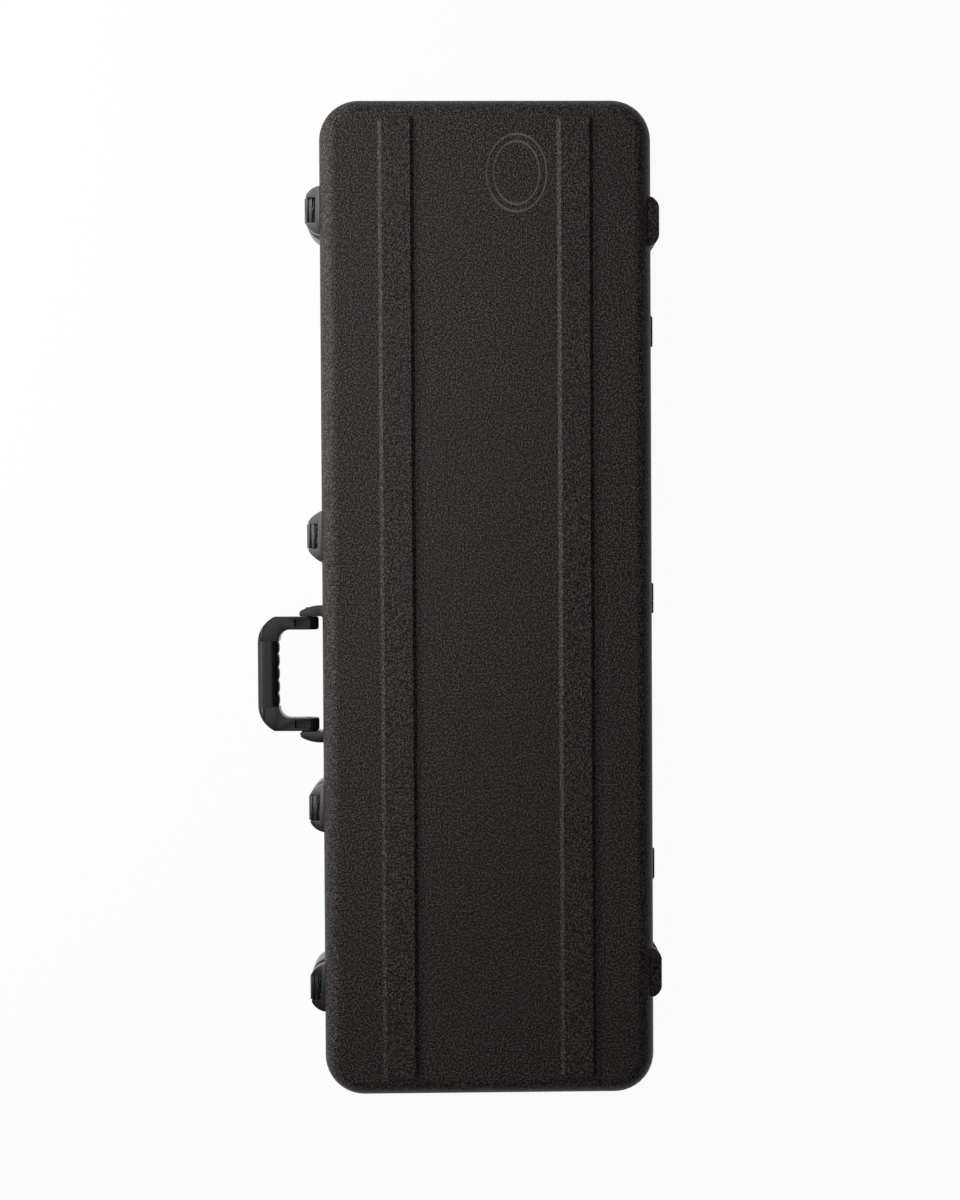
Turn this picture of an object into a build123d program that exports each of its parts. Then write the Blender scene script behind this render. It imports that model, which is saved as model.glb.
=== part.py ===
from build123d import *
from math import hypot
import os

os.makedirs("parts", exist_ok=True)

# The case lies closed on its back: +Y is its length towards the neck end, the latches and the
# handle are on the -X side, the hinges on the +X side, and the lid is on top. The origin is the
# middle of the bounding box at the level the case rests on. Millimetres.

# Closed case
CASE_LENGTH = 1257.0
CASE_WIDTH = 418.0
CASE_DEPTH = 125.0
PLAN_RADIUS = 50.0
EDGE_RADIUS = 22.0
SHELL_WALL = 3.0

# Seam between base and lid, and the gap that the closed rims keep there
SEAM_HEIGHT = 84.0
SEAM_GAP = 0.6

# Two long raised ribs on the lid and two on the bottom, which the case rests on
RIB_HEIGHT = 4.0
RIB_WIDTH = 45.0
RIB_CENTRE = 112.0
RIB_END_INSET = 23.0
RIB_CORNER = 7.0
RIB_TAPER = 50.0

# Plain double ring pressed into the lid near its neck end
BADGE_X = 38.5
BADGE_Y = 534.0
BADGE_WIDTH = 78.0
BADGE_HEIGHT = 100.0
BADGE_LINE = 3.0
BADGE_SPACING = 9.0
BADGE_SINK = 1.0

# Bumpers on the spine: the case stands on them, and lid and base bumpers meet when it is open
BUMPER_POSITIONS = (475.0, -475.0)
BUMPER_REACH = 10.0
BUMPER_FOOT = 61.0
BUMPER_FACE = 34.0
BUMPER_SETBACK = 9.5
BUMPER_LOW = 18.0
BUMPER_LID_HEIGHT = 18.0
BUMPER_ROOT = 10.0
BUMPER_ROUND = 2.0
BUMPER_BULGE = 2.2

# Aluminium rims: a tongue on the base rim enters a groove in the lid rim
RIM_FLANGE = 2.0
RIM_WALL = 2.0
BASE_RIM_WEB = 14.0
LID_RIM_WEB = 11.7
TONGUE_INSET = 4.5
TONGUE_HEIGHT = 3.0
TONGUE_CLEARANCE = 0.5

# Steel hinges
HINGE_POSITIONS = {"top": 340.0, "middle": 0.0, "bottom": -340.0}
HINGE_LENGTH = 37.0
HINGE_LEAF = 1.2
HINGE_AXIS_REACH = 2.2
KNUCKLE_RADIUS = 2.0
KNUCKLE_COUNT = 5
KNUCKLE_GAP = 0.3
HINGE_PIN_RADIUS = 0.9
HINGE_PIN_PLAY = 0.05
HINGE_PIN_HEAD = 1.5
HINGE_PIN_HEAD_HEIGHT = 0.8
LEAF_RELIEF = 0.8
BASE_LEAF_LOW = 57.0
LID_LEAF_HIGH = 98.0
HINGE_RIVET_SPREAD = 11.0
BASE_HINGE_RIVET_Z = 63.0
LID_HINGE_RIVET_Z = 93.5

# Latches on the front side, from the neck end to the body end
LATCH_POSITIONS = (492.0, 81.0, -264.0, -493.0)
LATCH_REACH = 17.0
LATCH_FACE = 36.0
LATCH_BULGE = 2.6
HOUSING_FOOT = 67.0
HOUSING_LOW = 36.0
HOUSING_HIGH = 80.0
HOUSING_BACK = 3.0
KEEPER_FOOT = 61.0
KEEPER_LOW = 87.0
KEEPER_HIGH = 101.0
KEEPER_BACK = 5.0
LEDGE_THICKNESS = 3.0
CATCH_DEPTH = 1.8
CATCH_CLEARANCE = 0.4
CATCH_SLOT = 4.4
LEVER_WIDTH = 30.6
LEVER_SIDE_PLAY = 0.4
LEVER_SKIN = 4.0
LEVER_LOW = 40.0
LEVER_HIGH = 98.0
LEVER_LIP = 2.0
LEVER_LIP_LOW = 87.0
LEVER_BOSS = 4.0
LEVER_BOSS_HIGH = 54.0
LEVER_TAB_WIDTH = 7.0
LEVER_TAB_DEPTH = 1.2
LEVER_GROOVE_REACH = 12.2
LEVER_GROOVE_WIDTH = 2.4
LEVER_GROOVE_DEPTH = 3.5
THUMB_RADIUS = 34.0
THUMB_DEPTH = 2.0
THUMB_Z = 70.0
LATCH_PIVOT_Z = 46.0
LATCH_PIVOT_REACH = 11.0
LATCH_PIN_RADIUS = 1.75
LATCH_PIN_PLAY = 0.06
HOUSING_RIVET_SPREAD = 9.0
HOUSING_RIVET_Z = 60.0
KEEPER_RIVET_SPREAD = 10.0
KEEPER_RIVET_Z = 96.0

# Rivets
RIVET_SHANK = 1.6
RIVET_HEAD = 2.6
RIVET_HEAD_HEIGHT = 1.2
RIVET_TAIL = 2.4
RIVET_TAIL_HEIGHT = 1.2

# Handle
HANDLE_Y = -94.7
HANDLE_SPAN = 146.5
HANDLE_REACH = 86.0
HANDLE_PIVOT_REACH = 20.0
HANDLE_PIVOT_Z = 66.5
HANDLE_END_RADIUS = 12.5
HANDLE_BAR_RADIUS = 11.0
ARM_WIDTH = 16.5
ARM_CORNER_REACH = 64.0
BAR_CORNER_HALF = 31.0
CORNER_BULGE = 5.5
ARM_INNER_ROUND = 14.0
ARM_END_ROUND = 3.0
GRIP_DEPTH = 28.0
GRIP_THICKNESS = 24.0
GRIP_HALF_LENGTH = 42.0
GRIP_ROUND = 10.5
GRIP_WALL = 4.0
FINGER_COUNT = 5
FINGER_CREST = 2.0
CORE_BAR_THICKNESS = 16.0
ARM_POCKET_LENGTH = 20.0
ARM_POCKET_WIDTH = 9.6
ARM_POCKET_DEPTH = 6.5
ARM_POCKET_SETBACK = 2.0
HANDLE_PIN_RADIUS = 4.0
HANDLE_PIN_PLAY = 0.08
HANDLE_PIN_BITE = 12.0
BRACKET_PLAY = 0.7
BRACKET_REACH = 31.0
BRACKET_TIP = 6.0
HORN_BULGE = 2.2
BRACKET_FOOT = 87.5
BRACKET_TOE = 5.0
BRACKET_TOE_HEIGHT = 3.5
BRACKET_TOE_EASE = 0.38
BRACKET_HEIGHT = 33.0
BRACKET_EDGE = 1.5
BRACKET_SCREW_HALF = 80.5
BRACKET_SCREW_Z = (54.0, 62.0)
SCREW_RADIUS = 2.0
SCREW_HEAD_RADIUS = 4.0
SCREW_HEAD_HEIGHT = 2.0
SCREW_BITE = 12.0
BACKING_THICKNESS = 2.0
BACKING_HALF_LENGTH = 95.0
BACKING_LOW = 46.0
BACKING_HIGH = 66.5

# Padding inside
FOAM_TOP = 66.0
FOAM_INSET = 5.0
FOAM_GAP = 0.3
FLOOR_PAD = 10.0
LID_PAD = 11.5
BODY_END = -583.0
HEAD_END = 583.0
END_RELIEF = 26.0
NECK_HALF = 48.0
NECK_START = -112.0
HEAD_START = 330.0
HEAD_HALF = 86.0
HEAD_STEP = 22.0
LOWER_BOUT = (168.0, -455.0)
WAIST = (138.0, -320.0)
UPPER_BOUT = (160.0, -205.0)
BODY_FOOT_HALF = 118.0
CRADLE_Y = 175.0
CRADLE_LENGTH = 70.0
CRADLE_HEIGHT = 35.0
CRADLE_NOTCH = 54.0
CRADLE_NOTCH_DEPTH = 18.0
BOX_WALL = 4.0
BOX_OUTER_X = 199.0
BOX_CORNER = 8.0
BACKING_RELIEF = 5.0

HALF_WIDTH = CASE_WIDTH / 2
HALF_LENGTH = CASE_LENGTH / 2
CASE_X = (HANDLE_REACH - BUMPER_REACH) / 2
BASE_TOP = SEAM_HEIGHT - SEAM_GAP / 2
LID_LOW = SEAM_HEIGHT + SEAM_GAP / 2
LID_PANEL = CASE_DEPTH - RIB_HEIGHT
FLOOR_Z = RIB_HEIGHT + SHELL_WALL
INNER_RADIUS = EDGE_RADIUS - SHELL_WALL
FOAM_LOW = FLOOR_Z + FOAM_GAP
BLOCK_LOW = FOAM_LOW + FLOOR_PAD + FOAM_GAP
HINGE_X = HALF_WIDTH + HINGE_AXIS_REACH
HALF_SPAN = HANDLE_SPAN / 2


def level(z):
    """Horizontal plane at a height, its origin over the middle of the shell."""
    return Plane(origin=(CASE_X, 0, z))


def section(y):
    """Upright plane across the case: across the width, then up."""
    return Plane(origin=(CASE_X, y, 0), x_dir=(1, 0, 0), z_dir=(0, -1, 0))


def side_wall(x):
    """Upright plane along the case at a distance from the middle: along the length, then up."""
    return Plane(origin=(CASE_X + x, 0, 0), x_dir=(0, 1, 0), z_dir=(1, 0, 0))


def front(reach):
    """Distance from the middle of the shell of a point that stands out from the front wall."""
    return -HALF_WIDTH - reach


def save(piece, name):
    """Label one finished piece and write it."""
    piece.label = name
    export_step(piece, f"parts/{name}.step")


def plan(inset, z):
    """The case's rounded rectangle, drawn in by an inset."""
    with BuildSketch(level(z)) as outline:
        RectangleRounded(CASE_WIDTH - 2 * inset, CASE_LENGTH - 2 * inset, PLAN_RADIUS - inset)
    return outline.sketch


def ring(outer_inset, inner_inset, z):
    """A closed band that follows the case's outline between two insets."""
    with BuildSketch(level(z)) as band:
        RectangleRounded(
            CASE_WIDTH - 2 * outer_inset, CASE_LENGTH - 2 * outer_inset, PLAN_RADIUS - outer_inset
        )
        RectangleRounded(
            CASE_WIDTH - 2 * inner_inset,
            CASE_LENGTH - 2 * inner_inset,
            PLAN_RADIUS - inner_inset,
            mode=Mode.SUBTRACT,
        )
    return band.sketch


def tray(inset, low, high, edge, rounded_end):
    """A full block with the case's plan, its lower (0) or upper (-1) edge rounded."""
    with BuildPart() as block:
        extrude(plan(inset, low), amount=high - low)
        fillet(block.edges().group_by(Axis.Z)[rounded_end], edge)
    return block.part


def shoulders(side, y, foot, face, reach, bulge, root, z):
    """Plan of a block on a side wall: a wide foot, convex shoulders and a flat outer face."""
    wall = side * HALF_WIDTH
    outer = side * (HALF_WIDTH + reach)
    slope = (foot - face) / 2
    length = hypot(slope, reach)
    middle = (wall + outer) / 2 + side * bulge * slope / length
    half = (foot + face) / 4 + bulge * reach / length
    with BuildSketch(level(z)) as outline:
        with BuildLine():
            ThreePointArc((wall, y - foot / 2), (middle, y - half), (outer, y - face / 2))
            Line((outer, y - face / 2), (outer, y + face / 2))
            ThreePointArc((outer, y + face / 2), (middle, y + half), (wall, y + foot / 2))
            Line((wall, y + foot / 2), (wall, y - foot / 2))
        make_face()
        if root > 0:
            with Locations((wall - side * root / 2, y)):
                Rectangle(root, foot)
    return outline.sketch


def block_plan(low_x, high_x, low_y, high_y, z):
    """A plain rectangle between two corners."""
    with BuildSketch(level(z)) as outline:
        with Locations(((low_x + high_x) / 2, (low_y + high_y) / 2)):
            Rectangle(high_x - low_x, high_y - low_y)
    return outline.sketch


def wall_discs(x, points, radius):
    """Circles on an upright plane along the case."""
    with BuildSketch(side_wall(x)) as discs:
        with Locations(*points):
            Circle(radius)
    return discs.sketch


def rib_plan(plane):
    """The two long ribs."""
    with BuildSketch(plane) as ribs:
        with Locations((RIB_CENTRE, 0), (-RIB_CENTRE, 0)):
            RectangleRounded(RIB_WIDTH, CASE_LENGTH - 2 * RIB_END_INSET, RIB_CORNER)
    return ribs.sketch


def hinge_rivet_points(z):
    """Rivet centres of all hinge leaves at one height."""
    return [
        (y + side * HINGE_RIVET_SPREAD, z) for y in HINGE_POSITIONS.values() for side in (-1, 1)
    ]


def latch_rivet_points(spread, z):
    """Rivet centres of all latch pieces at one height."""
    return [(y + side * spread, z) for y in LATCH_POSITIONS for side in (-1, 1)]


def screw_points():
    """Centres of the screws that hold the handle's brackets."""
    return [
        (HANDLE_Y + side * BRACKET_SCREW_HALF, z) for side in (-1, 1) for z in BRACKET_SCREW_Z
    ]


def bumper_blocks(low, height):
    """The spine bumpers of one shell, rounded at their outer faces."""
    blocks = []
    for y in BUMPER_POSITIONS:
        with BuildPart() as block:
            outline = shoulders(
                1, y, BUMPER_FOOT, BUMPER_FACE, BUMPER_REACH, BUMPER_BULGE, BUMPER_ROOT, low
            )
            extrude(outline, amount=height)
            fillet(block.faces().sort_by(Axis.X)[-1].edges(), BUMPER_ROUND)
        blocks.append(block.part)
    return blocks


# Base shell: vacuum-formed tray with its ribs and spine bumpers
def make_base_shell():
    hollow = tray(SHELL_WALL, FLOOR_Z, SEAM_HEIGHT, INNER_RADIUS, 0)
    high = BASE_TOP - RIM_FLANGE
    bumpers = bumper_blocks(BUMPER_LOW, SEAM_HEIGHT - BUMPER_SETBACK - BUMPER_LOW)
    with BuildPart() as base_shell:
        extrude(plan(0, RIB_HEIGHT), amount=high - RIB_HEIGHT)
        fillet(base_shell.edges().group_by(Axis.Z)[0], EDGE_RADIUS)
        add(bumpers)
        add(hollow, mode=Mode.SUBTRACT)
        extrude(
            rib_plan(Plane(origin=(CASE_X, 0, RIB_HEIGHT), x_dir=(1, 0, 0), z_dir=(0, 0, -1))),
            amount=RIB_HEIGHT,
            taper=RIB_TAPER,
        )
        through = SHELL_WALL * 2
        hinge_holes = hinge_rivet_points(BASE_HINGE_RIVET_Z)
        extrude(
            wall_discs(HALF_WIDTH - SHELL_WALL, hinge_holes, RIVET_SHANK),
            amount=through,
            mode=Mode.SUBTRACT,
        )
        latch_holes = latch_rivet_points(HOUSING_RIVET_SPREAD, HOUSING_RIVET_Z)
        extrude(
            wall_discs(front(SHELL_WALL), latch_holes, RIVET_SHANK),
            amount=through,
            mode=Mode.SUBTRACT,
        )
        extrude(
            wall_discs(front(SHELL_WALL), screw_points(), SCREW_RADIUS),
            amount=through,
            mode=Mode.SUBTRACT,
        )
    save(base_shell.part, "base_shell")


# Lid shell: shallower tray, with ribs, bumpers and the plain pressed ring
def make_lid_shell():
    hollow = tray(SHELL_WALL, SEAM_HEIGHT, LID_PANEL - SHELL_WALL, INNER_RADIUS, -1)
    low = LID_LOW + RIM_FLANGE
    bumpers = bumper_blocks(SEAM_HEIGHT + BUMPER_SETBACK, BUMPER_LID_HEIGHT)
    with BuildPart() as lid_shell:
        extrude(plan(0, low), amount=LID_PANEL - low)
        fillet(lid_shell.edges().group_by(Axis.Z)[-1], EDGE_RADIUS)
        add(bumpers)
        add(hollow, mode=Mode.SUBTRACT)
        extrude(rib_plan(level(LID_PANEL)), amount=RIB_HEIGHT, taper=RIB_TAPER)
        with BuildSketch(level(LID_PANEL)) as badge:
            with Locations((BADGE_X, BADGE_Y)):
                for step in (0, 1):
                    half_width = BADGE_WIDTH / 2 - step * BADGE_SPACING
                    half_height = BADGE_HEIGHT / 2 - step * BADGE_SPACING
                    Ellipse(half_width, half_height)
                    Ellipse(half_width - BADGE_LINE, half_height - BADGE_LINE, mode=Mode.SUBTRACT)
        extrude(amount=-BADGE_SINK, mode=Mode.SUBTRACT)
        through = SHELL_WALL * 2
        hinge_holes = hinge_rivet_points(LID_HINGE_RIVET_Z)
        extrude(
            wall_discs(HALF_WIDTH - SHELL_WALL, hinge_holes, RIVET_SHANK),
            amount=through,
            mode=Mode.SUBTRACT,
        )
        latch_holes = latch_rivet_points(KEEPER_RIVET_SPREAD, KEEPER_RIVET_Z)
        extrude(
            wall_discs(front(SHELL_WALL), latch_holes, RIVET_SHANK),
            amount=through,
            mode=Mode.SUBTRACT,
        )
    save(lid_shell.part, "lid_shell")


# Rims: the base rim caps the shell's edge and carries the tongue
def make_rims():
    tongue_inner = TONGUE_INSET + RIM_WALL
    with BuildPart() as base_rim:
        flange_low = BASE_TOP - RIM_FLANGE
        extrude(ring(0, tongue_inner, flange_low), amount=RIM_FLANGE)
        extrude(
            ring(SHELL_WALL, SHELL_WALL + RIM_WALL, flange_low - BASE_RIM_WEB),
            amount=BASE_RIM_WEB,
        )
        extrude(ring(TONGUE_INSET, tongue_inner, BASE_TOP), amount=TONGUE_HEIGHT)
    save(base_rim.part, "base_rim")

    groove_outer = TONGUE_INSET - TONGUE_CLEARANCE
    groove_inner = tongue_inner + TONGUE_CLEARANCE
    groove_top = BASE_TOP + TONGUE_HEIGHT + TONGUE_CLEARANCE
    with BuildPart() as lid_rim:
        extrude(ring(0, groove_outer, LID_LOW), amount=RIM_FLANGE)
        extrude(ring(SHELL_WALL, groove_outer, LID_LOW), amount=groove_top - LID_LOW)
        extrude(ring(SHELL_WALL, groove_inner + RIM_WALL, groove_top), amount=RIM_WALL)
        extrude(
            ring(groove_inner, groove_inner + RIM_WALL, LID_LOW),
            amount=groove_top + LID_RIM_WEB - LID_LOW - RIM_FLANGE,
        )
    save(lid_rim.part, "lid_rim")


# Hinges: two leaves and a pin each
def make_hinge_leaf(y, own_knuckles, plate_low, plate_high, tab_low, tab_high, rivet_z, bore):
    """One leaf: a riveted plate, and for each of its knuckles a tab and a barrel."""
    pitch = HINGE_LENGTH / KNUCKLE_COUNT
    with BuildPart() as leaf:
        plate = block_plan(
            HALF_WIDTH,
            HALF_WIDTH + HINGE_LEAF,
            y - HINGE_LENGTH / 2,
            y + HINGE_LENGTH / 2,
            plate_low,
        )
        extrude(plate, amount=plate_high - plate_low)
        for number in own_knuckles:
            centre = y + (number - (KNUCKLE_COUNT - 1) / 2) * pitch
            with BuildSketch(section(centre)) as knuckle:
                with Locations((HINGE_X, SEAM_HEIGHT)):
                    Circle(KNUCKLE_RADIUS)
                with Locations((HALF_WIDTH + HINGE_LEAF / 2, (tab_low + tab_high) / 2)):
                    Rectangle(HINGE_LEAF, tab_high - tab_low)
            extrude(knuckle.sketch, amount=(pitch - KNUCKLE_GAP) / 2, both=True)
        with BuildSketch(section(y)) as hole:
            with Locations((HINGE_X, SEAM_HEIGHT)):
                Circle(bore)
        extrude(hole.sketch, amount=HINGE_LENGTH, both=True, mode=Mode.SUBTRACT)
        rivets = [(y + side * HINGE_RIVET_SPREAD, rivet_z) for side in (-1, 1)]
        extrude(
            wall_discs(HALF_WIDTH, rivets, RIVET_SHANK), amount=HINGE_LEAF, mode=Mode.SUBTRACT
        )
    return leaf.part


def make_hinges():
    relief = KNUCKLE_RADIUS + LEAF_RELIEF
    for place, y in HINGE_POSITIONS.items():
        base_leaf = make_hinge_leaf(
            y,
            range(0, KNUCKLE_COUNT, 2),
            BASE_LEAF_LOW,
            SEAM_HEIGHT - relief,
            SEAM_HEIGHT - relief,
            SEAM_HEIGHT,
            BASE_HINGE_RIVET_Z,
            HINGE_PIN_RADIUS,
        )
        save(base_leaf, f"hinge_base_leaf_{place}")
        lid_leaf = make_hinge_leaf(
            y,
            range(1, KNUCKLE_COUNT, 2),
            SEAM_HEIGHT + relief,
            LID_LEAF_HIGH,
            SEAM_HEIGHT,
            SEAM_HEIGHT + relief,
            LID_HINGE_RIVET_Z,
            HINGE_PIN_RADIUS + HINGE_PIN_PLAY,
        )
        save(lid_leaf, f"hinge_lid_leaf_{place}")
        with BuildPart() as pin:
            with BuildSketch(section(y)) as rod:
                with Locations((HINGE_X, SEAM_HEIGHT)):
                    Circle(HINGE_PIN_RADIUS)
            extrude(rod.sketch, amount=HINGE_LENGTH / 2, both=True)
            for end in (-1, 1):
                head_y = y + end * (HINGE_LENGTH + HINGE_PIN_HEAD_HEIGHT) / 2
                with BuildSketch(section(head_y)) as head:
                    with Locations((HINGE_X, SEAM_HEIGHT)):
                        Circle(HINGE_PIN_HEAD)
                extrude(head.sketch, amount=HINGE_PIN_HEAD_HEIGHT / 2, both=True)
        save(pin.part, f"hinge_pin_{place}")


# Rivets: head outside, shank through plate and wall, upset tail inside
def make_rivets(name, side, points, grip):
    """Rivets through the wall and what is riveted on it, which is as thick as the grip."""
    with BuildPart() as rivets:
        wall = side * HALF_WIDTH
        inner = wall - side * SHELL_WALL
        low = min(inner, wall + side * grip)
        extrude(wall_discs(low, points, RIVET_SHANK), amount=SHELL_WALL + grip)
        head_low = min(wall + side * grip, wall + side * (grip + RIVET_HEAD_HEIGHT))
        extrude(wall_discs(head_low, points, RIVET_HEAD), amount=RIVET_HEAD_HEIGHT)
        tail_low = min(inner, inner - side * RIVET_TAIL_HEIGHT)
        extrude(wall_discs(tail_low, points, RIVET_TAIL), amount=RIVET_TAIL_HEIGHT)
    save(rivets.part, name)


# Latch: a housing on the base, a keeper on the lid, and a lever that swings out on its pin
def pocket(y, half, reach, z):
    """Plan of the room that the lever takes up in the housing or keeper."""
    return block_plan(front(LATCH_REACH + LEVER_LIP), front(reach), y - half, y + half, z)


def make_housing(y, name):
    half = LEVER_WIDTH / 2 + LEVER_SIDE_PLAY
    height = HOUSING_HIGH - HOUSING_LOW
    with BuildPart() as housing:
        outline = shoulders(
            -1, y, HOUSING_FOOT, LATCH_FACE, LATCH_REACH, LATCH_BULGE, 0, HOUSING_LOW
        )
        extrude(outline, amount=height)
        extrude(
            pocket(y, half, HOUSING_BACK, HOUSING_LOW), amount=height, mode=Mode.SUBTRACT
        )
        with BuildSketch(section(y)) as bore:
            with Locations((front(LATCH_PIVOT_REACH), LATCH_PIVOT_Z)):
                Circle(LATCH_PIN_RADIUS)
        extrude(bore.sketch, amount=LATCH_FACE / 2, both=True, mode=Mode.SUBTRACT)
        rivets = [(y + side * HOUSING_RIVET_SPREAD, HOUSING_RIVET_Z) for side in (-1, 1)]
        extrude(
            wall_discs(front(HOUSING_BACK), rivets, RIVET_SHANK),
            amount=HOUSING_BACK,
            mode=Mode.SUBTRACT,
        )
    save(housing.part, name)


def make_keeper(y, name):
    half = LEVER_WIDTH / 2 + LEVER_SIDE_PLAY
    height = KEEPER_HIGH - KEEPER_LOW
    with BuildPart() as keeper:
        outline = shoulders(-1, y, KEEPER_FOOT, LATCH_FACE, LATCH_REACH, LATCH_BULGE, 0, KEEPER_LOW)
        extrude(outline, amount=height)
        extrude(
            pocket(y, half, KEEPER_BACK, KEEPER_LOW), amount=height, mode=Mode.SUBTRACT
        )
        ledge_front = front(KEEPER_BACK + CATCH_DEPTH)
        ledge = block_plan(ledge_front, front(KEEPER_BACK), y - half, y + half, KEEPER_LOW)
        extrude(ledge, amount=LEDGE_THICKNESS)
        rivets = [(y + side * KEEPER_RIVET_SPREAD, KEEPER_RIVET_Z) for side in (-1, 1)]
        extrude(
            wall_discs(front(KEEPER_BACK), rivets, RIVET_SHANK),
            amount=KEEPER_BACK,
            mode=Mode.SUBTRACT,
        )
    save(keeper.part, name)


def make_lever(y, name):
    head_in = KEEPER_BACK + CATCH_SLOT
    claw_in = KEEPER_BACK + CATCH_DEPTH + CATCH_CLEARANCE
    claw_low = KEEPER_LOW + LEDGE_THICKNESS + CATCH_CLEARANCE
    claw_high = claw_low + LEDGE_THICKNESS
    skin_in = LATCH_REACH - LEVER_SKIN
    boss_in = LATCH_PIVOT_REACH - LEVER_BOSS
    groove_out = LEVER_GROOVE_REACH + LEVER_GROOVE_WIDTH
    with BuildPart() as lever:
        with BuildSketch(section(y)) as profile:
            with BuildLine():
                Polyline(
                    (front(LATCH_REACH), LEVER_LOW),
                    (front(LATCH_REACH), LEVER_LIP_LOW),
                    (front(LATCH_REACH + LEVER_LIP), LEVER_LIP_LOW + LEVER_LIP),
                    (front(LATCH_REACH + LEVER_LIP), LEVER_HIGH - LEVER_LIP),
                    (front(LATCH_REACH), LEVER_HIGH),
                    (front(groove_out), LEVER_HIGH),
                    (front(groove_out), LEVER_HIGH - LEVER_GROOVE_DEPTH),
                    (front(LEVER_GROOVE_REACH), LEVER_HIGH - LEVER_GROOVE_DEPTH),
                    (front(LEVER_GROOVE_REACH), LEVER_HIGH),
                    (front(head_in), LEVER_HIGH),
                    (front(head_in), claw_high),
                    (front(claw_in), claw_high),
                    (front(claw_in), claw_low),
                    (front(head_in), claw_low),
                    (front(skin_in), KEEPER_LOW),
                    (front(skin_in), LEVER_BOSS_HIGH),
                    (front(boss_in), LEVER_BOSS_HIGH - LEVER_SKIN),
                    (front(boss_in), LATCH_PIVOT_Z - LEVER_SKIN / 2),
                    (front(LATCH_PIVOT_REACH), LEVER_LOW),
                    close=True,
                )
            make_face()
            with Locations((front(LATCH_PIVOT_REACH), LATCH_PIVOT_Z)):
                Circle(LATCH_PIN_RADIUS + LATCH_PIN_PLAY, mode=Mode.SUBTRACT)
            with Locations((front(LATCH_REACH - THUMB_DEPTH + THUMB_RADIUS), THUMB_Z)):
                Circle(THUMB_RADIUS, mode=Mode.SUBTRACT)
        extrude(profile.sketch, amount=LEVER_WIDTH / 2, both=True)
        tab = block_plan(
            front(head_in),
            front(head_in - LEVER_TAB_DEPTH),
            y - LEVER_TAB_WIDTH / 2,
            y + LEVER_TAB_WIDTH / 2,
            claw_high,
        )
        extrude(tab, amount=LEVER_HIGH - claw_high)
    save(lever.part, name)


def make_latch_pin(y, name):
    with BuildPart() as pin:
        with BuildSketch(section(y)) as rod:
            with Locations((front(LATCH_PIVOT_REACH), LATCH_PIVOT_Z)):
                Circle(LATCH_PIN_RADIUS)
        extrude(rod.sketch, amount=LATCH_FACE / 2, both=True)
    save(pin.part, name)


# Handle: a nylon core with two arms, a soft sleeve on its bar, and two horned brackets
def handle_outline():
    """Plan of the core: two arms and a bar with wide curved corners."""
    inner_half = HALF_SPAN - ARM_WIDTH
    bar_inner = HANDLE_REACH - GRIP_DEPTH
    end = HANDLE_PIVOT_REACH - HANDLE_END_RADIUS
    corner = (
        (front(HANDLE_REACH) + front(ARM_CORNER_REACH)) / 2 - CORNER_BULGE,
        (HALF_SPAN + BAR_CORNER_HALF) / 2 + CORNER_BULGE,
    )
    with BuildSketch(level(HANDLE_PIVOT_Z)) as outline:
        with BuildLine():
            Line((front(end), HANDLE_Y + HALF_SPAN), (front(ARM_CORNER_REACH), HANDLE_Y + HALF_SPAN))
            ThreePointArc(
                (front(ARM_CORNER_REACH), HANDLE_Y + HALF_SPAN),
                (corner[0], HANDLE_Y + corner[1]),
                (front(HANDLE_REACH), HANDLE_Y + BAR_CORNER_HALF),
            )
            Line(
                (front(HANDLE_REACH), HANDLE_Y + BAR_CORNER_HALF),
                (front(HANDLE_REACH), HANDLE_Y - BAR_CORNER_HALF),
            )
            ThreePointArc(
                (front(HANDLE_REACH), HANDLE_Y - BAR_CORNER_HALF),
                (corner[0], HANDLE_Y - corner[1]),
                (front(ARM_CORNER_REACH), HANDLE_Y - HALF_SPAN),
            )
            Polyline(
                (front(ARM_CORNER_REACH), HANDLE_Y - HALF_SPAN),
                (front(end), HANDLE_Y - HALF_SPAN),
                (front(end), HANDLE_Y - inner_half),
                (front(bar_inner), HANDLE_Y - inner_half),
                (front(bar_inner), HANDLE_Y + inner_half),
                (front(end), HANDLE_Y + inner_half),
                (front(end), HANDLE_Y + HALF_SPAN),
            )
        make_face()
        by_reach = outline.vertices().group_by(Axis.X)
        fillet(by_reach[-1], ARM_END_ROUND)
        inner = [v for v in outline.vertices() if abs(v.X - front(bar_inner)) < ARM_END_ROUND]
        fillet(inner, ARM_INNER_ROUND)
    return outline.sketch


def handle_side():
    """Side view of the handle: round about its pivot, thinner at the bar."""
    with BuildSketch(section(HANDLE_Y)) as side:
        with Locations((front(HANDLE_PIVOT_REACH), HANDLE_PIVOT_Z)):
            Circle(HANDLE_END_RADIUS)
        with Locations((front(HANDLE_REACH - HANDLE_BAR_RADIUS), HANDLE_PIVOT_Z)):
            Circle(HANDLE_BAR_RADIUS)
        make_hull()
    return side.sketch


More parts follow.
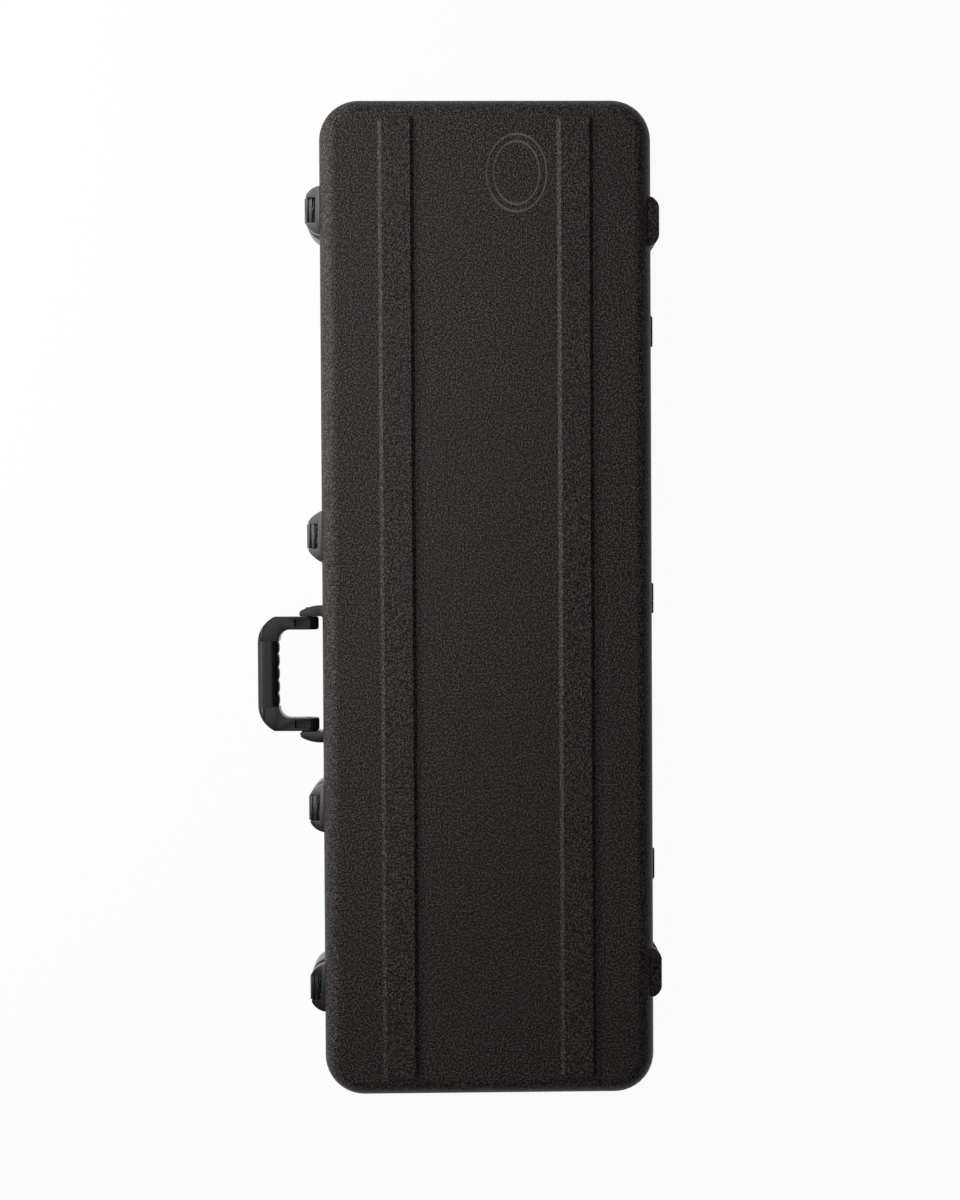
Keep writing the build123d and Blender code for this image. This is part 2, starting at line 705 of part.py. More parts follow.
def make_handle_core():
    bar_middle = HANDLE_REACH - GRIP_DEPTH / 2
    bar_depth = GRIP_DEPTH - 2 * GRIP_WALL
    with BuildPart() as handle_core:
        extrude(handle_outline(), amount=HANDLE_END_RADIUS, both=True)
        extrude(handle_side(), amount=HANDLE_SPAN, both=True, mode=Mode.INTERSECT)
        with BuildSketch(section(HANDLE_Y)) as sleeve_room:
            with Locations((front(bar_middle), HANDLE_PIVOT_Z)):
                Rectangle(GRIP_DEPTH * 2, GRIP_THICKNESS * 2)
                Rectangle(bar_depth, CORE_BAR_THICKNESS, mode=Mode.SUBTRACT)
        extrude(sleeve_room.sketch, amount=GRIP_HALF_LENGTH, both=True, mode=Mode.SUBTRACT)
        with BuildSketch(section(HANDLE_Y)) as bore:
            with Locations((front(HANDLE_PIVOT_REACH), HANDLE_PIVOT_Z)):
                Circle(HANDLE_PIN_RADIUS + HANDLE_PIN_PLAY)
        extrude(bore.sketch, amount=HANDLE_SPAN, both=True, mode=Mode.SUBTRACT)
        arm_middle = HALF_SPAN - ARM_WIDTH / 2
        pocket_low = HANDLE_PIVOT_REACH - ARM_POCKET_SETBACK
        for side in (-1, 1):
            for z in (
                HANDLE_PIVOT_Z - HANDLE_END_RADIUS,
                HANDLE_PIVOT_Z + HANDLE_END_RADIUS - ARM_POCKET_DEPTH,
            ):
                hollow = block_plan(
                    front(pocket_low + ARM_POCKET_LENGTH),
                    front(pocket_low),
                    HANDLE_Y + side * arm_middle - ARM_POCKET_WIDTH / 2,
                    HANDLE_Y + side * arm_middle + ARM_POCKET_WIDTH / 2,
                    z,
                )
                extrude(hollow, amount=ARM_POCKET_DEPTH, mode=Mode.SUBTRACT)
    save(handle_core.part, "handle_core")


def make_handle_grip():
    bar_middle = HANDLE_REACH - GRIP_DEPTH / 2
    bar_depth = GRIP_DEPTH - 2 * GRIP_WALL
    inner = HANDLE_REACH - GRIP_DEPTH
    pitch = 2 * GRIP_HALF_LENGTH / FINGER_COUNT
    low = HANDLE_Y - GRIP_HALF_LENGTH
    high = HANDLE_Y + GRIP_HALF_LENGTH
    with BuildPart() as handle_grip:
        with BuildSketch(level(HANDLE_PIVOT_Z)) as outline:
            with BuildLine():
                for number in range(FINGER_COUNT):
                    start = low + number * pitch
                    ThreePointArc(
                        (front(inner + FINGER_CREST), start),
                        (front(inner), start + pitch / 2),
                        (front(inner + FINGER_CREST), start + pitch),
                    )
                Polyline(
                    (front(inner + FINGER_CREST), high),
                    (front(HANDLE_REACH), high),
                    (front(HANDLE_REACH), low),
                    (front(inner + FINGER_CREST), low),
                )
            make_face()
        extrude(outline.sketch, amount=GRIP_THICKNESS / 2, both=True)
        with BuildSketch(section(HANDLE_Y)) as cross:
            with Locations((front(bar_middle), HANDLE_PIVOT_Z)):
                RectangleRounded(GRIP_DEPTH, GRIP_THICKNESS, GRIP_ROUND)
                Rectangle(bar_depth, CORE_BAR_THICKNESS, mode=Mode.SUBTRACT)
        extrude(cross.sketch, amount=GRIP_HALF_LENGTH, both=True, mode=Mode.INTERSECT)
    save(handle_grip.part, "handle_grip")


def make_bracket(side, name):
    """Horned bracket: the handle's pin sits in the horn."""
    inner = HALF_SPAN + BRACKET_PLAY
    low = HANDLE_PIVOT_Z - BRACKET_HEIGHT / 2
    shoulder = (inner + BRACKET_TIP + BRACKET_FOOT) / 2 + HORN_BULGE
    with BuildPart() as bracket:
        with BuildSketch(level(low)) as outline:
            with BuildLine():
                ThreePointArc(
                    (front(0), HANDLE_Y + side * BRACKET_FOOT),
                    (front(BRACKET_REACH / 2 + HORN_BULGE), HANDLE_Y + side * shoulder),
                    (front(BRACKET_REACH), HANDLE_Y + side * (inner + BRACKET_TIP)),
                )
                Polyline(
                    (front(BRACKET_REACH), HANDLE_Y + side * (inner + BRACKET_TIP)),
                    (front(BRACKET_REACH), HANDLE_Y + side * inner),
                    (front(BRACKET_TOE_HEIGHT), HANDLE_Y + side * inner),
                )
                ThreePointArc(
                    (front(BRACKET_TOE_HEIGHT), HANDLE_Y + side * inner),
                    (
                        front(BRACKET_TOE_HEIGHT * BRACKET_TOE_EASE),
                        HANDLE_Y + side * (inner - BRACKET_TOE * BRACKET_TOE_EASE),
                    ),
                    (front(0), HANDLE_Y + side * (inner - BRACKET_TOE)),
                )
                Line(
                    (front(0), HANDLE_Y + side * (inner - BRACKET_TOE)),
                    (front(0), HANDLE_Y + side * BRACKET_FOOT),
                )
            make_face()
        extrude(outline.sketch, amount=BRACKET_HEIGHT)
        tip_edges = bracket.faces().sort_by(Axis.X)[0].edges()
        chamfer(tip_edges, BRACKET_EDGE)
        with BuildSketch(section(HANDLE_Y + side * HALF_SPAN)) as bore:
            with Locations((front(HANDLE_PIVOT_REACH), HANDLE_PIVOT_Z)):
                Circle(HANDLE_PIN_RADIUS)
        extrude(bore.sketch, amount=HANDLE_PIN_BITE, both=True, mode=Mode.SUBTRACT)
        screws = [(HANDLE_Y + side * BRACKET_SCREW_HALF, z) for z in BRACKET_SCREW_Z]
        extrude(
            wall_discs(front(SCREW_BITE), screws, SCREW_RADIUS), amount=SCREW_BITE, mode=Mode.SUBTRACT
        )
    save(bracket.part, name)


def make_handle_fittings():
    with BuildPart() as handle_pins:
        for side in (-1, 1):
            with BuildSketch(section(HANDLE_Y + side * HALF_SPAN)) as rod:
                with Locations((front(HANDLE_PIVOT_REACH), HANDLE_PIVOT_Z)):
                    Circle(HANDLE_PIN_RADIUS)
            extrude(rod.sketch, amount=HANDLE_PIN_BITE, both=True)
    save(handle_pins.part, "handle_pins")

    with BuildPart() as backing_plate:
        plate = block_plan(
            front(-SHELL_WALL),
            front(-SHELL_WALL - BACKING_THICKNESS),
            HANDLE_Y - BACKING_HALF_LENGTH,
            HANDLE_Y + BACKING_HALF_LENGTH,
            BACKING_LOW,
        )
        extrude(plate, amount=BACKING_HIGH - BACKING_LOW)
        extrude(
            wall_discs(front(-SHELL_WALL), screw_points(), SCREW_RADIUS),
            amount=BACKING_THICKNESS,
            mode=Mode.SUBTRACT,
        )
    save(backing_plate.part, "handle_backing_plate")

    seat = SHELL_WALL + BACKING_THICKNESS
    with BuildPart() as screws:
        extrude(wall_discs(front(SCREW_BITE), screw_points(), SCREW_RADIUS), amount=SCREW_BITE + seat)
        extrude(wall_discs(front(-seat), screw_points(), SCREW_HEAD_RADIUS), amount=SCREW_HEAD_HEIGHT)
    save(screws.part, "handle_screws")


# Padding: glued foam blocks under plush, shaped round a bass guitar
def foam_room():
    """The room inside the base that the padding may fill."""
    return tray(FOAM_INSET, FOAM_LOW, FOAM_TOP, INNER_RADIUS - FOAM_GAP, 0)


def body_curve(side):
    """Points of the body pocket's edge, from the strap button end to the neck."""
    return [
        (side * BODY_FOOT_HALF, BODY_END),
        (side * LOWER_BOUT[0], LOWER_BOUT[1]),
        (side * WAIST[0], WAIST[1]),
        (side * UPPER_BOUT[0], UPPER_BOUT[1]),
        (side * NECK_HALF, NECK_START),
    ]


def foam_block(outline, room):
    """A block over the floor pad with a given plan, trimmed to the inside of the shell."""
    with BuildPart() as block:
        extrude(outline, amount=FOAM_TOP - BLOCK_LOW)
        add(room, mode=Mode.INTERSECT)
    return block.part


def side_block_plan(side, ends_at_neck):
    """Plan of a side block: the body pocket's curve, and on the long block the neck and head."""
    wall = side * (HALF_WIDTH + 1)
    curve = body_curve(side)
    with BuildSketch(level(BLOCK_LOW)) as outline:
        with BuildLine():
            Spline(*curve)
            if ends_at_neck:
                Polyline(curve[-1], (wall, NECK_START), (wall, BODY_END), curve[0])
            else:
                Polyline(
                    curve[-1],
                    (side * NECK_HALF, HEAD_START),
                    (side * HEAD_HALF, HEAD_START + HEAD_STEP),
                    (side * HEAD_HALF, HEAD_END),
                    (wall, HEAD_END),
                    (wall, BODY_END),
                    curve[0],
                )
        make_face()
    return outline.sketch


def end_block_plan(side):
    """Plan of an end block with a shallow hollow facing the instrument."""
    start = side * (HEAD_END + FOAM_GAP)
    with BuildSketch(level(BLOCK_LOW)) as outline:
        with BuildLine():
            ThreePointArc(
                (-HALF_WIDTH, start),
                (0, start + side * END_RELIEF / 2),
                (HALF_WIDTH, start),
            )
            Polyline(
                (HALF_WIDTH, start),
                (HALF_WIDTH, side * (HALF_LENGTH + 1)),
                (-HALF_WIDTH, side * (HALF_LENGTH + 1)),
                (-HALF_WIDTH, start),
            )
        make_face()
    return outline.sketch


def make_padding():
    room = foam_room()
    with BuildPart() as floor_pad:
        extrude(plan(0, FOAM_LOW), amount=FLOOR_PAD)
        add(room, mode=Mode.INTERSECT)
    save(floor_pad.part, "floor_pad")

    long_block = foam_block(side_block_plan(-1, False), room)
    relief = block_plan(
        front(0),
        front(-FOAM_INSET - BACKING_RELIEF),
        HANDLE_Y - BACKING_HALF_LENGTH - BACKING_RELIEF,
        HANDLE_Y + BACKING_HALF_LENGTH + BACKING_RELIEF,
        BACKING_LOW - BACKING_RELIEF,
    )
    with BuildPart() as foam_front:
        add(long_block)
        extrude(relief, amount=FOAM_TOP, mode=Mode.SUBTRACT)
    save(foam_front.part, "foam_front")

    save(foam_block(side_block_plan(1, True), room), "foam_body_rear")
    head_plan = block_plan(HEAD_HALF, HALF_WIDTH + 1, HEAD_START, HEAD_END, BLOCK_LOW)
    save(foam_block(head_plan, room), "foam_head_rear")
    save(foam_block(end_block_plan(-1), room), "foam_body_end")
    save(foam_block(end_block_plan(1), room), "foam_head_end")

    with BuildPart() as neck_cradle:
        cradle = block_plan(
            FOAM_GAP - NECK_HALF,
            NECK_HALF - FOAM_GAP,
            CRADLE_Y - CRADLE_LENGTH / 2,
            CRADLE_Y + CRADLE_LENGTH / 2,
            BLOCK_LOW,
        )
        extrude(cradle, amount=CRADLE_HEIGHT)
        with BuildSketch(section(CRADLE_Y)) as notch:
            with Locations((0, BLOCK_LOW + CRADLE_HEIGHT)):
                RectangleRounded(CRADLE_NOTCH, 2 * CRADLE_NOTCH_DEPTH, CRADLE_NOTCH_DEPTH / 2)
        extrude(notch.sketch, amount=CRADLE_LENGTH, both=True, mode=Mode.SUBTRACT)
    save(neck_cradle.part, "neck_cradle")

    box_low_y = NECK_START + FOAM_GAP
    box_high_y = HEAD_START - FOAM_GAP
    with BuildPart() as accessory_box:
        extrude(
            block_plan(NECK_HALF, BOX_OUTER_X, box_low_y, box_high_y, BLOCK_LOW),
            amount=FOAM_TOP - BLOCK_LOW,
        )
        fillet(accessory_box.edges().filter_by(Axis.Z), BOX_CORNER)
        extrude(
            block_plan(
                NECK_HALF + BOX_WALL,
                BOX_OUTER_X - BOX_WALL,
                box_low_y + BOX_WALL,
                box_high_y - BOX_WALL,
                BLOCK_LOW + BOX_WALL,
            ),
            amount=FOAM_TOP,
            mode=Mode.SUBTRACT,
        )
    save(accessory_box.part, "accessory_box")

    ceiling = LID_PANEL - SHELL_WALL - FOAM_GAP
    lid_room = tray(FOAM_INSET, SEAM_HEIGHT, ceiling, INNER_RADIUS - FOAM_GAP, -1)
    with BuildPart() as lid_pad:
        extrude(plan(0, ceiling - LID_PAD), amount=LID_PAD)
        add(lid_room, mode=Mode.INTERSECT)
    save(lid_pad.part, "lid_pad")


make_base_shell()
make_lid_shell()
make_rims()
make_hinges()
make_rivets("hinge_base_rivets", 1, hinge_rivet_points(BASE_HINGE_RIVET_Z), HINGE_LEAF)
make_rivets("hinge_lid_rivets", 1, hinge_rivet_points(LID_HINGE_RIVET_Z), HINGE_LEAF)
for number, position in enumerate(LATCH_POSITIONS, start=1):
    make_housing(position, f"latch_housing_{number}")
    make_keeper(position, f"latch_keeper_{number}")
    make_lever(position, f"latch_lever_{number}")
    make_latch_pin(position, f"latch_pin_{number}")
make_rivets(
    "latch_housing_rivets",
    -1,
    latch_rivet_points(HOUSING_RIVET_SPREAD, HOUSING_RIVET_Z),
    HOUSING_BACK,
)
make_rivets(
    "latch_keeper_rivets", -1, latch_rivet_points(KEEPER_RIVET_SPREAD, KEEPER_RIVET_Z), KEEPER_BACK
)
make_handle_core()
make_handle_grip()
make_bracket(1, "handle_bracket_upper")
make_bracket(-1, "handle_bracket_lower")
make_handle_fittings()
make_padding()
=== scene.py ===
# %% [markdown]
# # A moulded bass guitar case
# A case like this is two vacuum-formed ABS trays, a lid and a base, that meet in an aluminium rim. Four latches
# and a folding handle sit on the front wall, hinges on the back wall, and the inside is lined with plush over
# foam. The CAD model gives every hard piece its place and size, so this lesson is about finishes, light and the
# soft lining.

import math

import bmesh
import bpy
from mathutils import Matrix, Vector, noise


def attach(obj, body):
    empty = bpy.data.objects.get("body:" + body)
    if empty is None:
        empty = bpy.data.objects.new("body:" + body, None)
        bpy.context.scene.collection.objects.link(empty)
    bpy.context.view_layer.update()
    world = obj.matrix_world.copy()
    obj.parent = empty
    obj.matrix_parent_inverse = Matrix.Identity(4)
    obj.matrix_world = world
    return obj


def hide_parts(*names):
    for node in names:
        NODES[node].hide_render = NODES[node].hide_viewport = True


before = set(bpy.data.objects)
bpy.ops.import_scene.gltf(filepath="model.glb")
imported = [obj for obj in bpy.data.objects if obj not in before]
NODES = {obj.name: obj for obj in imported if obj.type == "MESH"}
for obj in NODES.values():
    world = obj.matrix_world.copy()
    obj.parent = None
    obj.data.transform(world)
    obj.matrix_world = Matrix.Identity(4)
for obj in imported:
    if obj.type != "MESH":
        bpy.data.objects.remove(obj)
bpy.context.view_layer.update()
MM = 0.001

# %% [markdown]
# ## Two small helpers
# Colours are easier to read as the hex values that a colour picker gives, but a shader works on linear light, so
# one function turns one into the other. A second function adds one node with its settings and its wires, which
# keeps every material below down to a list of what is joined to what. A Mix node has sockets for every kind of
# value, so its colour sockets are known by number, and the numbers get names here.

# %% Colours and nodes
MIX_SHARE = 0
MIX_FIRST = 6
MIX_SECOND = 7
MIX_COLOUR = 2


def linear(hex_colour, alpha=1.0):
    """A hex colour as the linear RGBA that a socket takes."""
    channels = [int(hex_colour[i:i + 2], 16) / 255 for i in (0, 2, 4)]
    channels = [c / 12.92 if c <= 0.04045 else ((c + 0.055) / 1.055) ** 2.4 for c in channels]
    return channels + [alpha]


def add(tree, kind, settings=None, links=None):
    """One node: settings go to its sockets or properties, links to its inputs."""
    node = tree.nodes.new(kind)
    for key, value in (settings or {}).items():
        if isinstance(key, int) or key in node.inputs:
            node.inputs[key].default_value = value
        else:
            setattr(node, key, value)
    for key, source in (links or {}).items():
        tree.links.new(source, node.inputs[key])
    return node


def start(name, **sockets):
    """A material of that name, with its tree, its shader and the place of each point on the object."""
    material = bpy.data.materials.new(name)
    material.use_nodes = True
    tree = material.node_tree
    shader = tree.nodes["Principled BSDF"]
    for key, value in sockets.items():
        shader.inputs[key.replace("_", " ")].default_value = value
    place = add(tree, "ShaderNodeTexCoord").outputs["Object"]
    return material, tree, shader, place


# %% [markdown]
# ## The camera
# The photograph looks straight down on the closed lid from about two metres, with the neck end up. The lens comes
# from how much smaller the floor-side edges look than the lid, so the sides of the case show by the right amount.

# %% Camera
IMAGE_HEIGHT = 1200
FOCAL_PIXELS = 1616.3
SENSOR_HEIGHT = 24.0
CAMERA_PLACE = (-0.0038, 0.0359, 2.1500)
CAMERA_TURN = (-1.024, -0.915, -0.320)

camera_data = bpy.data.cameras.new("photo_camera")
camera_data.sensor_fit = "VERTICAL"
camera_data.sensor_height = SENSOR_HEIGHT
camera_data.lens = SENSOR_HEIGHT * FOCAL_PIXELS / IMAGE_HEIGHT
camera = bpy.data.objects.new("photo_camera", camera_data)
camera.location = CAMERA_PLACE
camera.rotation_euler = [math.radians(a) for a in CAMERA_TURN]
bpy.context.scene.collection.objects.link(camera)
bpy.context.scene.camera = camera
bpy.context.scene.view_settings.view_transform = "Standard"
print("lens", round(camera_data.lens, 2), "mm")

# %% [markdown]
# ## Floor and light
# Black plastic is drawn by what it reflects. A long soft box hangs high on the latch side and a smaller one beyond
# the neck end, which lights that end more than the other. A bright strip low on the left draws the light lines
# along the left edges, and a very weak box lifts the far side. The floor is pale. Its white is painted for the
# camera and for what shines or lets light through, so it shows behind and in the case but still takes its shadow.

# %% Floor
FLOOR_HALF = 7.0
FLOOR_WHITE = "FFFFFF"
FLOOR_PALE = "E9E8E6"
FLOOR_SHOWN_WHITE = 0.95
PAPER_ROUGHNESS = 0.9

floor_mesh = bmesh.new()
bmesh.ops.create_grid(floor_mesh, x_segments=1, y_segments=1, size=FLOOR_HALF)
floor_data = bpy.data.meshes.new("studio_floor")
floor_mesh.to_mesh(floor_data)
floor_mesh.free()
studio_floor = bpy.data.objects.new("studio_floor", floor_data)
bpy.context.scene.collection.objects.link(studio_floor)

floor_paint = bpy.data.materials.new("matt_studio_paper")
floor_paint.use_nodes = True
paper = floor_paint.node_tree
paper_shader = paper.nodes["Principled BSDF"]
paper_shader.inputs["Base Color"].default_value = linear(FLOOR_PALE)
paper_shader.inputs["Roughness"].default_value = PAPER_ROUGHNESS
paper_shader.inputs["Specular IOR Level"].default_value = 0.0
ray = add(paper, "ShaderNodeLightPath")
seen = add(paper, "ShaderNodeMath", {"operation": "MAXIMUM"},
           {0: ray.outputs["Is Camera Ray"], 1: ray.outputs["Is Glossy Ray"]})
seen = add(paper, "ShaderNodeMath", {"operation": "MAXIMUM"},
           {0: seen.outputs[0], 1: ray.outputs["Is Transmission Ray"]})
share = add(paper, "ShaderNodeMath", {"operation": "MULTIPLY", 1: FLOOR_SHOWN_WHITE},
            {0: seen.outputs[0]})
white = add(paper, "ShaderNodeEmission", {"Color": linear(FLOOR_WHITE), "Strength": 1.0})
mixed = add(paper, "ShaderNodeMixShader", {},
            {0: share.outputs[0], 1: paper_shader.outputs[0], 2: white.outputs[0]})
paper.links.new(mixed.outputs[0], paper.nodes["Material Output"].inputs["Surface"])
studio_floor.data.materials.append(floor_paint)

# %% Lamps and world
CASE_MIDDLE = (0.0, 0.0, 0.05)
LID_LEFT = (-0.30, 0.30, 0.05)
LAMPS = (
    # name, place, width, length along the case, radiance, what it is aimed at
    ("key_soft_box", (-0.74, 0.42, 1.66), 0.80, 2.05, 2.5, LID_LEFT),
    ("neck_end_box", (-0.70, 1.70, 1.20), 1.10, 0.60, 2.4, CASE_MIDDLE),
    ("low_left_strip", (-1.80, 0.60, 0.80), 0.50, 1.80, 13.0, CASE_MIDDLE),
    ("far_side_fill", (2.60, -0.60, 1.20), 1.20, 1.60, 0.10, CASE_MIDDLE),
)


def soft_box(name, place, size_x, size_y, radiance, aim):
    """A rectangular lamp of that radiance, aimed at a point, with its second side along the case."""
    lamp = bpy.data.lights.new(name, "AREA")
    lamp.shape = "RECTANGLE"
    lamp.size = size_x
    lamp.size_y = size_y
    lamp.energy = radiance * math.pi * size_x * size_y
    box = bpy.data.objects.new(name, lamp)
    box.location = place
    back = (Vector(place) - Vector(aim)).normalized()
    side = Vector((0.0, 1.0, 0.0)).cross(back).normalized()
    box.rotation_euler = Matrix((side, back.cross(side), back)).transposed().to_euler()
    box.visible_camera = False
    bpy.context.scene.collection.objects.link(box)
    print(name, round(lamp.energy, 1), "W")


for lamp_settings in LAMPS:
    soft_box(*lamp_settings)

WORLD_GREY = "383739"
world = bpy.data.worlds.new("studio_room")
world.use_nodes = True
bpy.context.scene.world = world
room = world.node_tree
room_back = room.nodes["Background"]
room_back.inputs["Color"].default_value = linear(WORLD_GREY)
room_back.inputs["Strength"].default_value = 1.0
room_white = add(room, "ShaderNodeBackground", {"Color": linear(FLOOR_WHITE), "Strength": 1.0})
room_ray = add(room, "ShaderNodeLightPath")
room_mix = add(room, "ShaderNodeMixShader", {},
               {0: room_ray.outputs["Is Camera Ray"], 1: room_back.outputs[0], 2: room_white.outputs[0]})
room.links.new(room_mix.outputs[0], room.nodes["World Output"].inputs["Surface"])

# %% [markdown]
# ## Grained ABS
# Case shells are ABS sheet, vacuum formed over a tool with a leather grain. The grain breaks the gloss into
# specks, so the surface looks charcoal rather than black. The specks are painted glints: pale grey is mixed into
# the colour where a finer noise is high, the same noise that also raises the grain. Cells of a few millimetres
# make the grain's creases, and a slow noise stands for the uneven rub of years of handling.

# %% Moulded ABS
GRAIN_CELL = 3.4 * MM
GRAIN_SPECK = 2.2 * MM
GRAIN_DEPTH = 0.6 * MM
CREASE_HEIGHT = 1.6
HANDLING_PATCH = 140 * MM
ABS_HOLLOW = "070505"
# Pale grey of the specks: painted glints of the grain, not a colour the sheet has.
ABS_SPECK_GLINT = "534845"
ABS_RUBBED = "242222"
SPECK_STARTS, SPECK_FULL = 0.47, 0.60
RUB_STARTS, RUB_FULL, RUB_STRENGTH = 0.35, 0.7, 0.2
ABS_DULL, ABS_WORN = 0.60, 0.44

abs_shell, tree, shader, place = start("vacuum_formed_abs", Roughness=0.52, IOR=1.54, Specular_IOR_Level=0.26)
crease = add(tree, "ShaderNodeTexVoronoi", {"feature": "DISTANCE_TO_EDGE", "Scale": 1 / GRAIN_CELL},
             {"Vector": place})
speck = add(tree, "ShaderNodeTexNoise", {"Scale": 1 / GRAIN_SPECK, "Detail": 2.0, "Roughness": 0.6},
            {"Vector": place})
patch = add(tree, "ShaderNodeTexNoise", {"Scale": 1 / HANDLING_PATCH, "Detail": 4.0}, {"Vector": place})
# Where the fine noise is high, the pale grey is painted into the colour as glints.
glint_share = add(tree, "ShaderNodeMapRange", {"From Min": SPECK_STARTS, "From Max": SPECK_FULL},
                  {"Value": speck.outputs[0]})
glint_colour = add(tree, "ShaderNodeMix",
                   {"data_type": "RGBA", MIX_FIRST: linear(ABS_HOLLOW), MIX_SECOND: linear(ABS_SPECK_GLINT)},
                   {MIX_SHARE: glint_share.outputs[0]})
patch_share = add(tree, "ShaderNodeMapRange",
                  {"From Min": RUB_STARTS, "From Max": RUB_FULL, "To Max": RUB_STRENGTH},
                  {"Value": patch.outputs[0]})
rubbed = add(tree, "ShaderNodeMix", {"data_type": "RGBA", MIX_SECOND: linear(ABS_RUBBED)},
             {MIX_SHARE: patch_share.outputs[0], MIX_FIRST: glint_colour.outputs[MIX_COLOUR]})
tree.links.new(rubbed.outputs[MIX_COLOUR], shader.inputs["Base Color"])
rough = add(tree, "ShaderNodeMapRange", {"To Min": ABS_DULL, "To Max": ABS_WORN}, {"Value": patch.outputs[0]})
tree.links.new(rough.outputs[0], shader.inputs["Roughness"])
height = add(tree, "ShaderNodeMath", {"operation": "MULTIPLY_ADD", 1: CREASE_HEIGHT},
             {0: crease.outputs["Distance"], 2: speck.outputs[0]})
grain = add(tree, "ShaderNodeBump", {"Strength": 1.0, "Distance": GRAIN_DEPTH}, {"Height": height.outputs[0]})
tree.links.new(grain.outputs[0], shader.inputs["Normal"])

# %% [markdown]
# ## The pressed ring
# Near the neck end the lid has a plain double oval ring pressed into the sheet. Its lines catch the light as a
# glossy highlight, and that highlight is painted into the colour: a copy of the grained material paints the two
# lines paler, finding them by how far a point lies from the ring's middle, measured in ring widths.

# %% Pressed ring
RING_MIDDLE = (76.5 * MM, 534.0 * MM, 0.0)
RING_LINES = ((39.0, 50.0), (30.0, 41.0))
RING_LINE = 3.0
# Pale grey painted on the ring's lines: a painted highlight.
RING_PAINTED_HIGHLIGHT = "6C6563"
RING_STRENGTH = 0.8

lid_abs = abs_shell.copy()
lid_abs.name = "vacuum_formed_abs_lid"
tree = lid_abs.node_tree
shader = tree.nodes["Principled BSDF"]
place = add(tree, "ShaderNodeTexCoord").outputs["Object"]
centred = add(tree, "ShaderNodeVectorMath", {"operation": "SUBTRACT", 1: RING_MIDDLE}, {0: place})
lines = []
for half_width, half_height in RING_LINES:
    scaled = add(tree, "ShaderNodeVectorMath",
                 {"operation": "MULTIPLY", 1: (1 / (half_width * MM), 1 / (half_height * MM), 0.0)},
                 {0: centred.outputs[0]})
    out = add(tree, "ShaderNodeVectorMath", {"operation": "LENGTH"}, {0: scaled.outputs[0]})
    half_line = RING_LINE / (half_width + half_height)
    lines.append(add(tree, "ShaderNodeMath", {"operation": "COMPARE", 1: 1 - half_line, 2: half_line},
                     {0: out.outputs["Value"]}))
ring = add(tree, "ShaderNodeMath", {"operation": "MAXIMUM"},
           {0: lines[0].outputs[0], 1: lines[1].outputs[0]})
ring_highlight_share = add(tree, "ShaderNodeMath", {"operation": "MULTIPLY", 1: RING_STRENGTH}, {0: ring.outputs[0]})
grained = shader.inputs["Base Color"].links[0].from_socket
# The ring's lines are mixed towards the pale grey, which paints their highlight into the colour.
ring_highlighted = add(tree, "ShaderNodeMix", {"data_type": "RGBA", MIX_SECOND: linear(RING_PAINTED_HIGHLIGHT)},
             {MIX_SHARE: ring_highlight_share.outputs[0], MIX_FIRST: grained})
tree.links.new(ring_highlighted.outputs[MIX_COLOUR], shader.inputs["Base Color"])

# %% [markdown]
# ## Satin nylon
# The latches, brackets and handle are injection moulded in glass-filled nylon. It is smooth enough to mirror a
# soft box as a pale sheen, and fine rubs show in it as slightly duller streaks.

# %% Moulded nylon
NYLON_TEXTURE = 0.8 * MM
NYLON_TEXTURE_DEPTH = 0.05 * MM
NYLON_RUB = 9 * MM
NYLON_RUB_STRETCH = (1.0, 0.18, 1.0)
NYLON_CLEAN = "151515"
NYLON_RUBBED = "222121"
NYLON_SHINY, NYLON_DULL = 0.22, 0.36

nylon, tree, shader, place = start("injection_moulded_nylon", Roughness=0.28, IOR=1.53,
                                   Specular_IOR_Level=0.95)
fine = add(tree, "ShaderNodeTexNoise", {"Scale": 1 / NYLON_TEXTURE, "Detail": 2.0}, {"Vector": place})
stretch = add(tree, "ShaderNodeMapping", {"Scale": NYLON_RUB_STRETCH}, {"Vector": place})
rub = add(tree, "ShaderNodeTexNoise", {"Scale": 1 / NYLON_RUB, "Detail": 5.0, "Roughness": 0.65},
          {"Vector": stretch.outputs[0]})
rub_share = add(tree, "ShaderNodeMapRange", {"From Min": 0.4, "From Max": 0.75}, {"Value": rub.outputs[0]})
rub_colour = add(tree, "ShaderNodeMix",
                 {"data_type": "RGBA", MIX_FIRST: linear(NYLON_CLEAN), MIX_SECOND: linear(NYLON_RUBBED)},
                 {MIX_SHARE: rub_share.outputs[0]})
tree.links.new(rub_colour.outputs[MIX_COLOUR], shader.inputs["Base Color"])
rough = add(tree, "ShaderNodeMapRange", {"To Min": NYLON_SHINY, "To Max": NYLON_DULL}, {"Value": rub.outputs[0]})
tree.links.new(rough.outputs[0], shader.inputs["Roughness"])
skin = add(tree, "ShaderNodeBump", {"Strength": 0.25, "Distance": NYLON_TEXTURE_DEPTH},
           {"Height": fine.outputs[0]})
tree.links.new(skin.outputs[0], shader.inputs["Normal"])

# %% [markdown]
# ## Duller nylon
# The handle and its brackets come from a tool with a spark-eroded texture, which sends back less of the light. The
# handle is the dullest, so each gets a copy of the nylon with its own strength of reflection.

# %% Handle and bracket nylon
HANDLE_REFLECTS = 0.2
BRACKET_REFLECTS = 0.32

handle_nylon = nylon.copy()
handle_nylon.name = "injection_moulded_nylon_handle"
handle_shader = handle_nylon.node_tree.nodes["Principled BSDF"]
handle_shader.inputs["Specular IOR Level"].default_value = HANDLE_REFLECTS
bracket_nylon = nylon.copy()
bracket_nylon.name = "injection_moulded_nylon_bracket"
bracket_shader = bracket_nylon.node_tree.nodes["Principled BSDF"]
bracket_shader.inputs["Specular IOR Level"].default_value = BRACKET_REFLECTS

